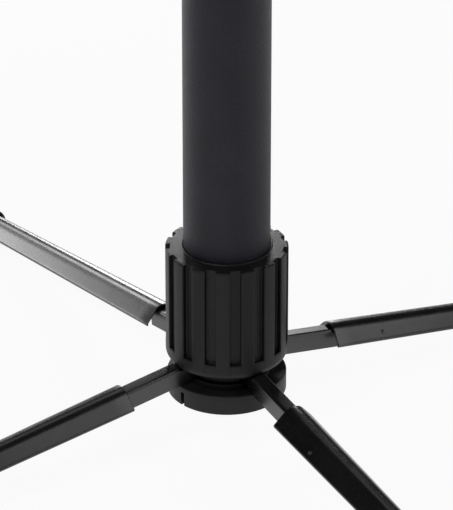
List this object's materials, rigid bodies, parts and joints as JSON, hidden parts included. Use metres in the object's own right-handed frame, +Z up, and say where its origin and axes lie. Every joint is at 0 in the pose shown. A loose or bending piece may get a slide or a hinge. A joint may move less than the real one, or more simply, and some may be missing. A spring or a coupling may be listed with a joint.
{
  "type": "trumpet stand",
  "caption": "Folding trumpet stand: sloping channel legs hinge in a hub under a ribbed screw-down sleeve; the column lifts off so they fold up; a cone holds the bell.",
  "frame": {"origin": "on the floor, under the column's axis", "axes": "+Z up along the column; spread legs lie along +X, +Y, -X and -Y"},
  "size_m": [0.3124, 0.3124, 0.2366],
  "materials": {
    "column_coat": "fine textured powder coat",
    "sleeve_plastic": "satin moulded",
    "cap_plastic": "fine spark-eroded texture",
    "hub_plastic": "matte moulded",
    "cone_plastic": "satin moulded",
    "leg_enamel": "semi-gloss enamel",
    "bare_steel": "zinc plated",
    "foot_rubber": "matte"
  },
  "bodies": {
    "base": {"hub_core": "hub_plastic", "base_cap": "cap_plastic", "base_washer": "bare_steel", "base_screw": "bare_steel", "hinge_pin_right": "bare_steel", "hinge_pin_back": "bare_steel", "hinge_pin_left": "bare_steel", "hinge_pin_front": "bare_steel"},
    "column": {"column_tube": "column_coat", "tube_bush": "hub_plastic", "bush_screws": "bare_steel", "cone_insert": "hub_plastic", "bell_cone": "cone_plastic", "cone_screw": "bare_steel"},
    "slip": {"slip_ring": "bare_steel"},
    "sleeve": {"locking_sleeve": "sleeve_plastic"},
    "leg_right": {"leg_bar_right": "leg_enamel", "leg_channel_right": "leg_enamel", "leg_stake_right": "leg_enamel", "foot_right": "foot_rubber"},
    "leg_back": {"leg_bar_back": "leg_enamel", "leg_channel_back": "leg_enamel", "leg_stake_back": "leg_enamel", "foot_back": "foot_rubber"},
    "leg_left": {"leg_bar_left": "leg_enamel", "leg_channel_left": "leg_enamel", "leg_stake_left": "leg_enamel", "foot_left": "foot_rubber"},
    "leg_front": {"leg_bar_front": "leg_enamel", "leg_channel_front": "leg_enamel", "leg_stake_front": "leg_enamel", "foot_front": "foot_rubber"}
  },
  "joints": [
    {"name": "column_lift", "type": "slide", "parent": "base", "child": "column", "axis": [0, 0, 1], "range_m": [0, 0.17]},
    {"name": "sleeve_rise", "type": "slide", "parent": "column", "child": "slip", "axis": [0, 0, 1], "range_m": [0, 0.012]},
    {"name": "sleeve_turn", "type": "hinge", "parent": "slip", "child": "sleeve", "pos_m": [0, 0, 0.02516], "axis": [0, 0, 1], "range_deg": [0, 1440]},
    {"name": "leg_fold_right", "type": "hinge", "parent": "base", "child": "leg_right", "pos_m": [0.0078, 0, 0.02458], "axis": [0, -1, 0], "range_deg": [0, 98.6]},
    {"name": "leg_fold_back", "type": "hinge", "parent": "base", "child": "leg_back", "pos_m": [0, 0.0078, 0.02458], "axis": [1, 0, 0], "range_deg": [0, 98.6]},
    {"name": "leg_fold_left", "type": "hinge", "parent": "base", "child": "leg_left", "pos_m": [-0.0078, 0, 0.02458], "axis": [0, 1, 0], "range_deg": [0, 98.6]},
    {"name": "leg_fold_front", "type": "hinge", "parent": "base", "child": "leg_front", "pos_m": [0, -0.0078, 0.02458], "axis": [-1, 0, 0], "range_deg": [0, 98.6]}
  ],
  "couplings": [
    {"joint": "sleeve_rise", "follows": "sleeve_turn", "m_per_rad": 0.00047746},
    {"joint": "leg_fold_right", "follows": "column_lift", "rad_per_m": 10.123},
    {"joint": "leg_fold_back", "follows": "column_lift", "rad_per_m": 10.123},
    {"joint": "leg_fold_left", "follows": "column_lift", "rad_per_m": 10.123},
    {"joint": "leg_fold_front", "follows": "column_lift", "rad_per_m": 10.123}
  ]
}
